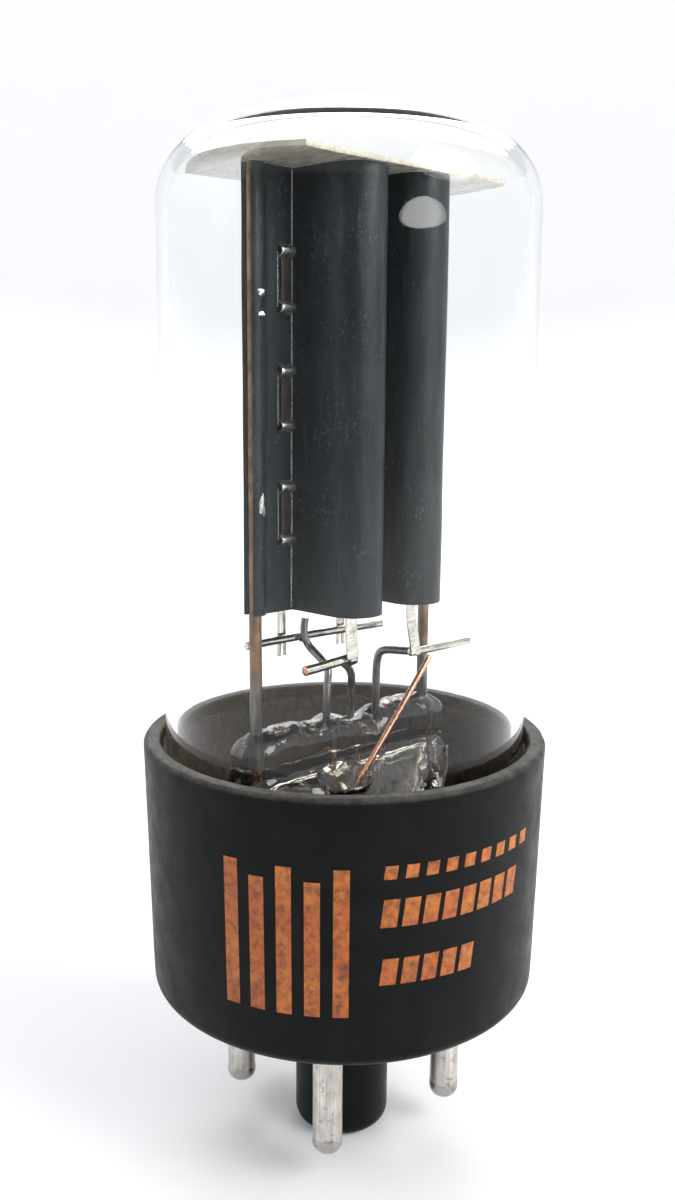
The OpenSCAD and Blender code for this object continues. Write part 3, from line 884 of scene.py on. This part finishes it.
def make_pins():
    solder = Shape()
    for k, node in enumerate(PIN_NODES):
        at = middle(node)
        spot = Vector((at.x, at.y, 0))
        pin = pin_body(box(node)[1].z, k + 2.0)
        pin.moved(lambda v, spot=spot: spot)
        build(node + "_body", pin, [MATERIALS["pin_plate"]], [node], sharp_deg=35)
        solder.join(solder_cap(spot, k + 11.0))
    build("solder_tips", solder, [MATERIALS["solder"]], ["pin_solder"])


# ---- plates ----------------------------------------------------------------

PLATE_X = 3.2
NOSE_R, NOSE_Y = 2.2, 4.2
SHEET = 0.3
LANCE_AT, LANCE_H, LANCE_PITCH, LANCE_W = -3.3, 4.8, 8.4, 1.3
RIB_AT = -(ROD_X - PLATE_X)


def half_shell_path():
    """Mid-line of the front sheet of a plate: inner side, nose, side, crease, flange and rib."""
    half = SHEET / 2
    r = NOSE_R - half
    path = [Vector((r, -y, 0)) for y in (0.0, 0.8, 1.8, 2.8, 3.6)]
    path += [Vector((r * math.cos(a), -NOSE_Y + r * math.sin(a), 0)) for a in
             [-math.pi * i / 22 for i in range(23)]]
    side_end = Vector((-NOSE_R - 0.2, -half - 0.32, 0))
    start = path[-1]
    path += [start.lerp(side_end, i / 6) for i in range(1, 7)]
    path += [Vector((-NOSE_R - 0.34, -half - 0.05, 0)), Vector((-NOSE_R - 0.5, -half, 0))]
    rib_r = ROD_R + 0.02 + half
    flange_end = RIB_AT + rib_r + 0.16
    flat_from = path[-1].x
    path += [Vector((flat_from + (flange_end - flat_from) * i / 8, -half, 0)) for i in range(1, 9)]
    path += [Vector((RIB_AT + rib_r * math.cos(a), rib_r * math.sin(a), 0)) for a in
             [math.radians(-24 - 11.4 * i) for i in range(11)]]
    return path


def half_shell(low, high, flip):
    """One sheet of a plate; flip -1 mirrors it into the back one."""
    path = half_shell_path()
    n = len(path)
    lines = []
    for i, p in enumerate(path):
        ahead = (path[min(i + 1, n - 1)] - path[max(i - 1, 0)]).normalized()
        out = Vector((ahead.y, -ahead.x, 0))
        lines.append((p + out * SHEET / 2, p - out * SHEET / 2))
    outline = [a for a, _ in lines] + [b for _, b in reversed(lines)]
    rows = 46
    rings = []
    for j in range(rows + 1):
        z = low + (high - low) * j / rows
        ring = []
        for p in outline:
            dent = 0.06 * jitter((p.x * 0.6, p.y * 0.6, z * 0.35), 0.55, 3.0 if flip > 0 else 5.0)
            away = Vector((0, -1, 0)) if p.y < -0.5 else Vector()
            q = p + away * dent
            ring.append((q.x, q.y * flip, z))
        rings.append(ring)
    shape = loft(rings, capped=False)
    last = rows * len(outline)
    for i in range(n - 1):
        a, b, c, d = i, i + 1, 2 * n - 2 - i, 2 * n - 1 - i
        shape.faces += [(a, b, c, d), (last + a, last + b, last + c, last + d)]
        shape.marks += [0, 0]
    return shape


def lance(z):
    """A strap pushed out of the flange. Its curled ends and thin side edges are bright metal: partly the
    bare edge of the cut sheet, partly painted highlight.
    """
    h, curl = LANCE_H / 2, 0.85
    shape = Shape()
    strap = [(LANCE_AT, -SHEET - lift, z + rise) for lift, rise in
             ((0.12, curl - h), (0.18, 0.0), (0.12, h - curl))]
    shape.join(strip(strap, LANCE_W - 0.35, 0.16, seed=z, cuts=1), mark=2)
    for end in (-1, 1):
        bow = [(LANCE_AT, -SHEET - lift, z + end * (h - back)) for lift, back in
               ((0.1, curl), (0.52, 0.6), (0.5, 0.25), (0.02, 0.0))]
        shape.join(strip(bow, LANCE_W, 0.14, seed=z + end, cuts=2), mark=1)
    # Thin bright strips along the slot's sides: partly bare sheet edge, partly painted highlight.
    for side in (-1, 1):
        x = LANCE_AT + side * (LANCE_W / 2 + 0.02)
        edge = [(x, -SHEET - 0.02, z - h + 0.5), (x, -SHEET - 0.02, z + h - 0.5)]
        shape.join(strip(edge, 0.07, 0.08, seed=z + 3 * side, cuts=0), mark=1)
    return shape


def slot_shade_panel(z):
    """A dark panel on the flange behind the strap: painted shade for the opening that the strap was pushed
    out of.
    """
    w, h = LANCE_W / 2 + 0.08, LANCE_H / 2 - 0.25
    front = -SHEET - 0.015
    corners = [(-w, -h), (w, -h), (w, h), (-w, h)]
    verts = [(LANCE_AT + u, y, z + v) for y in (front, front + 0.1) for u, v in corners]
    sides = [(i, (i + 1) % 4, 4 + (i + 1) % 4, 4 + i) for i in range(4)]
    return Shape().add(verts, [(0, 1, 2, 3), (4, 5, 6, 7), *sides], 2)


def make_plate(node, mirrored):
    low, high = box(node)[0].z, box(node)[1].z
    centre = (low + high) / 2 - 0.2
    shape = Shape()
    shape.join(half_shell(low, high, 1)).join(half_shell(low, high, -1))
    for i in (-1, 0, 1):
        z = centre + i * LANCE_PITCH
        shape.join(slot_shade_panel(z)).join(lance(z))
    # A thin bright strip along the crease: a painted highlight on the bend.
    crease = strip([(-NOSE_R - 0.5, -SHEET - 0.02, low + 0.2), (-NOSE_R - 0.45, -SHEET - 0.02, high - 0.1)],
                   lambda t: 0.1 + 0.05 * jitter((t * 30, 0, 0), 1.0, 2.0), 0.09, cuts=0)
    shape.join(crease, mark=1)
    for z, tall in ((54.4, 0.5), (52.9, 0.4), (39.5, 1.5)):
        spot = (RIB_AT + 0.1, -ROD_R - 0.3, low + z - 31.3)
        shape.join(blob(spot, (0.3, 0.12, tall * 0.5), seed=z, lumpy=0.5), mark=1)
    place = ON_STEM @ Matrix.Translation((-PLATE_X, 0, 0))
    if mirrored:
        place = ON_STEM @ Matrix.Scale(-1, 4, (1, 0, 0)) @ Matrix.Translation((-PLATE_X, 0, 0))
    materials = [MATERIALS["dark_plate"], BRIGHT_METAL_AND_HIGHLIGHT, DARK_STRAP_AND_SLOT_SHADE]
    build(node + "_sheet", shape, materials, [node], place, 32)


def make_rods():
    for node, x, lean in (("plate_1_rod", -ROD_X, 0.06), ("plate_2_rod", ROD_X, -0.05)):
        low, high = box(node)[0].z, box(node)[1].z
        path = [(x, 0, low), (x, 0, low + 3), (x + lean, 0, low + 7), (x, 0, low + 12), (x, 0, high)]
        shape = wire(path, ROD_R - 0.01, steps=28, cuts=2, rough=0.03, seed=x)
        build(node + "_wire", shape, [MATERIALS["support_rod"]], [node], ON_STEM)


# ---- mica ------------------------------------------------------------------


def mica_outline():
    """Two arcs at the bulb's wall, joined by straight sides."""
    half_w = 6.8
    corner = math.degrees(math.asin(half_w / MICA_R))
    outline = []
    for middle_deg in (0, 180):
        outline += arc((0, 0), MICA_R, middle_deg - corner, middle_deg + corner, 40)
        x, y = outline[-1]
        outline += [(x - 2 * x * i / 24, math.copysign(half_w, y)) for i in range(1, 24)]
    return [Vector((x, y, 0)) for x, y in outline]


def make_mica():
    outline = mica_outline()
    layers = []
    for z, scale in ((MICA_LOW, 0.997), (MICA_LOW + 0.03, 1.0), (MICA_TOP - 0.03, 1.0), (MICA_TOP, 0.997)):
        layers.append([(p.x * scale + 0.05 * jitter(p, 1.2, 3.0) * scale,
                        p.y * scale + 0.04 * jitter(p, 1.5, 4.0), z) for p in outline])
    shares = (0.1, 0.3, 0.5, 0.7, 0.85)
    inner_low = [[(p.x * s, p.y * s, MICA_LOW) for p in outline] for s in shares]
    inner_top = [[(p.x * s, p.y * s, MICA_TOP) for p in outline] for s in reversed(shares)]
    shape = loft(inner_low + layers + inner_top)

    def sag(v):
        return Vector((0, 0, min(0.0, 0.05 * jitter(v, 0.25, 2.0)))) if v.z < MICA_TOP - 0.1 else Vector()

    shape.moved(sag)
    build("mica_disc", shape, [MATERIALS["mica"]], ["top_mica"], ON_STEM)


# ---- tabs, bars and wires ----------------------------------------------------

BAR_Y, BAR_R = 3.54, 0.33
LEAD_R = BAR_R - 0.02


def make_tabs():
    low, high = (corner.z for corner in box("filament_tabs"))
    left = [(-3.2, -4.0, high), (-3.2, -4.02, 30.2), (-3.15, -4.1, 28.6)]
    left += [(-3.05, -4.16, 27.9), (-2.95, -3.95, 27.25)]
    right = [(3.25, -4.0, high), (3.3, -4.0, 30.0), (3.75, -4.0, 28.2), (4.0, -3.95, 27.1)]
    shape = Shape()
    shape.join(strip(left, lambda t: 0.95 + 0.25 * math.sin(t * 2.6), 0.24, seed=1.0))
    shape.join(blob((-3.0, -4.0, 27.6), (0.55, 0.24, 0.42), seed=2.0, lumpy=0.3))
    shape.join(strip(right, lambda t: 0.95 + 0.15 * t, 0.24, seed=3.0))
    shape.join(blob((4.25, -3.75, 27.15), (0.6, 0.32, 0.36), seed=4.0, lumpy=0.35))
    for x in (-PLATE_X, PLATE_X):
        rear = [(x, 4.0, high), (x - 0.1, 4.02, 29.4), (x - 0.05, 4.02, 27.6)]
        shape.join(strip(rear, 0.85, 0.26, seed=x))
        for s in (-1, 1):
            prong = [(x - 0.05 + s * 0.24, 4.02, 27.7), (x - 0.05 + s * 0.3, 4.02, low + 0.05)]
            shape.join(strip(prong, 0.34, 0.24, seed=x + s, cuts=0))
    build("tabs", shape, [MATERIALS["nickel"]], ["filament_tabs"], ON_STEM)


def make_bars():
    nickel = MATERIALS["nickel"]
    rear = wire([(-7.25, BAR_Y, 28.0), (-1.5, BAR_Y + 0.03, 28.02), (7.55, BAR_Y, 27.8)],
                BAR_R, 28, 2, 0.03, 1.0)
    build("bar_rear", rear, [nickel], ["rear_bar"], ON_STEM)
    left = wire([(-7.35, -BAR_Y, 27.35), (-4.5, -BAR_Y, 27.5), (-2.25, -BAR_Y, 27.7)],
                BAR_R + 0.03, 28, 2, 0.03, 2.0, round_end=0.2)
    for i, face in enumerate(left.faces):
        if all(left.verts[k].x < -7.25 for k in face):
            left.marks[i] = 1  # its cut end is copper-coloured
    build("bar_front_left", left, [nickel, MATERIALS["copper"]], ["front_bar_1"], ON_STEM)
    right = wire([(3.9, -BAR_Y + 0.1, 27.02), (5.2, -BAR_Y, 27.05), (8.5, -BAR_Y, 27.0),
                  (11.0, -BAR_Y, 26.97)], BAR_R, 28, 2, 0.03, 3.0)
    right.join(blob((10.95, -BAR_Y, 27.18), (0.22, 0.2, 0.2), seed=8.0, lumpy=0.5))
    build("bar_front_right", right, [nickel], ["front_bar_2"], ON_STEM)


def make_leads():
    foot = PRESS_TOP - 3.0
    dull = MATERIALS["dark_nickel"]
    a, b, c = WIRES_X
    rear = wire([(a, 0, foot), (a + 0.05, 0, 24.6), (a + 0.55, 0.3, 25.9), (a + 0.5, 1.6, 26.7),
                 (-1.55, 2.7, 27.3), (-1.95, 2.88, 28.3), (-1.75, 2.88, 29.6)], LEAD_R, 24, 3, 0.04, 4.0)
    rear.join(blob((-1.9, 3.1, 28.0), (0.36, 0.3, 0.36), seed=5.0, lumpy=0.3))
    build("lead_rear", rear, [dull], ["rear_bar_support"], ON_STEM)
    left = wire([(b, 0, foot), (b + 0.05, 0, 23.8), (b - 0.3, -0.5, 25.2), (-1.6, -2.1, 26.5),
                 (-3.0, -2.95, 27.2)], LEAD_R, 24, 3, 0.04, 5.0)
    build("lead_front_left", left, [dull], ["front_bar_1_lead"], ON_STEM)
    right = wire([(c, 0, foot), (c, 0, 24.5), (c + 0.02, -0.1, 26.3), (c + 0.15, -0.7, 26.85),
                  (c + 0.55, -2.3, 26.95), (c + 1.1, -BAR_Y + 0.3, 27.0)], BAR_R, 24, 2, 0.04, 6.0)
    build("lead_front_right", right, [dull], ["front_bar_2_lead"], ON_STEM)


def make_copper_wire():
    low, high = box("copper_wire")
    path = [(6.15, -BAR_Y + 0.02, high.z - 0.25), (2.4, -BAR_Y - 0.05, 22.2), (-1.1, -3.6, 18.45),
            (-1.7, -3.45, 17.4), (-1.95, -3.2, low.z + 0.3)]
    shape = wire(path, 0.235, 24, 2, 0.03, 7.0)
    build("wire_copper", shape, [MATERIALS["copper"]], ["copper_wire"], ON_STEM)


def paint_kept_nodes():
    """CAD nodes that stay as they are get their slot's procedural material."""
    for row in frame["record"]["subparts"]:
        kept = frame["nodes"][row["node"]]
        if not kept.hide_render:
            kept.data.materials.clear()
            kept.data.materials.append(MATERIALS[row["material_slot"]])


# ---- stage, light and camera -------------------------------------------------

PALE = (0.955, 0.955, 0.96)
CAMERA_AWAY, CAMERA_UP = 91.64, 48.75  # from the tube's axis, and above the seat
CAMERA_PITCH, CAMERA_ROLL = 10.82, 0.5  # degrees
CAMERA_SHIFT_X = -0.00683  # of the frame's height


def floor_paint():
    """A matt pale paint with painted shade: grey on the wall behind the camera, as the dim side of a room
    is.
    """
    p = Paint("floor_paint")
    tone = p.noise(0.01, 3)
    towards = p.node("VectorMath", operation="DOT_PRODUCT")
    p.link(p.spot(), towards.inputs[0])
    facing = math.radians(FACING)
    towards.inputs[1].default_value = (math.cos(facing), math.sin(facing), 0)
    # Painted shade: the wall behind the camera goes grey.
    dim = p.between(towards.outputs["Value"], 260, 620)
    pale = p.ramp(tone, (0.3, tuple(0.985 * c for c in PALE)), (0.7, PALE))
    return p.set(Base_Color=p.mix(dim, pale, (0.22, 0.22, 0.23)), Roughness=0.8).material


def make_stage():
    """A pale round floor that curves up into a wall."""
    level = KEY_LOW - 0.02
    flat_r, curve_r = 420.0, 330
    profile = [(r, level) for r in (0.0, 60.0, 200.0, flat_r)]
    for a in [math.radians(9 * i) for i in range(1, 11)]:
        profile.append((flat_r + curve_r * math.sin(a), level + curve_r * (1 - math.cos(a))))
    shape = turned(profile, 96, closed=False)
    mesh = bpy.data.meshes.new("floor")
    mesh.from_pydata([v * MM for v in shape.verts], [], shape.faces)
    mesh.materials.append(floor_paint())
    mesh.shade_smooth()
    floor = bpy.data.objects.new("floor", mesh)
    bpy.context.scene.collection.objects.link(floor)


def area_light(name, azimuth, elevation, distance, size, power, colour, aim_z=30.0):
    """A soft light; azimuth and elevation are seen from the tube, in degrees and millimetres."""
    lamp = bpy.data.lights.new(name, "AREA")
    lamp.shape, lamp.size, lamp.size_y = "ELLIPSE", size[0] * MM, size[1] * MM
    lamp.energy, lamp.color = power, colour
    light = bpy.data.objects.new(name, lamp)
    a, e = math.radians(azimuth), math.radians(elevation)
    away = Vector((math.sin(a) * math.cos(e), -math.cos(a) * math.cos(e), math.sin(e)))
    light.location = (away * distance + Vector((0, 0, aim_z))) * MM
    light.rotation_euler = away.to_track_quat("Z", "Y").to_euler()
    bpy.context.scene.collection.objects.link(light)


def make_lights():
    area_light("key", CAMERA_TURN + 62, 34, 520, (340, 340), 2.1, (1.0, 0.985, 0.96))
    area_light("fill", CAMERA_TURN - 80, 30, 560, (380, 420), 0.35, (0.93, 0.96, 1.0))
    area_light("back", CAMERA_TURN + 180, 35, 560, (500, 300), 1.3, (1, 1, 1))
    area_light("window", CAMERA_TURN + 42.2, 7.9, 493, (230, 17), 0.13, (1, 1, 1), 60)
    world = bpy.data.worlds.new("studio")
    world.use_nodes = True
    world.node_tree.nodes["Background"].inputs[0].default_value = (0.95, 0.97, 1.0, 1)
    world.node_tree.nodes["Background"].inputs[1].default_value = 0.8
    bpy.context.scene.world = world


def make_camera():
    """The photograph's camera: level with the plates and looking slightly down."""
    data = bpy.data.cameras.new("photo_view")
    data.sensor_width, data.lens = 36.0, 35.26
    data.shift_x = CAMERA_SHIFT_X
    data.clip_start, data.clip_end = 0.005, 10.0
    camera = bpy.data.objects.new("photo_view", data)
    turn = math.radians(CAMERA_TURN)
    camera.location = Vector((math.sin(turn) * CAMERA_AWAY, -math.cos(turn) * CAMERA_AWAY, CAMERA_UP)) * MM
    face = Matrix.Rotation(turn, 3, "Z")
    tilt = Matrix.Rotation(math.pi / 2 - math.radians(CAMERA_PITCH), 3, "X")
    lean = Matrix.Rotation(math.radians(CAMERA_ROLL), 3, "Z")
    camera.rotation_euler = (face @ tilt @ lean).to_euler()
    bpy.context.scene.collection.objects.link(camera)
    bpy.context.scene.camera = camera


make_bulb()
make_stem()
make_exhaust()
make_base()
make_print()
make_cement()
make_pins()
make_plate("plate_1", False)
make_plate("plate_2", True)
make_rods()
make_mica()
make_tabs()
make_bars()
make_leads()
make_copper_wire()
paint_kept_nodes()
make_stage()
make_lights()
make_camera()
bpy.context.scene.view_settings.view_transform = "Standard"
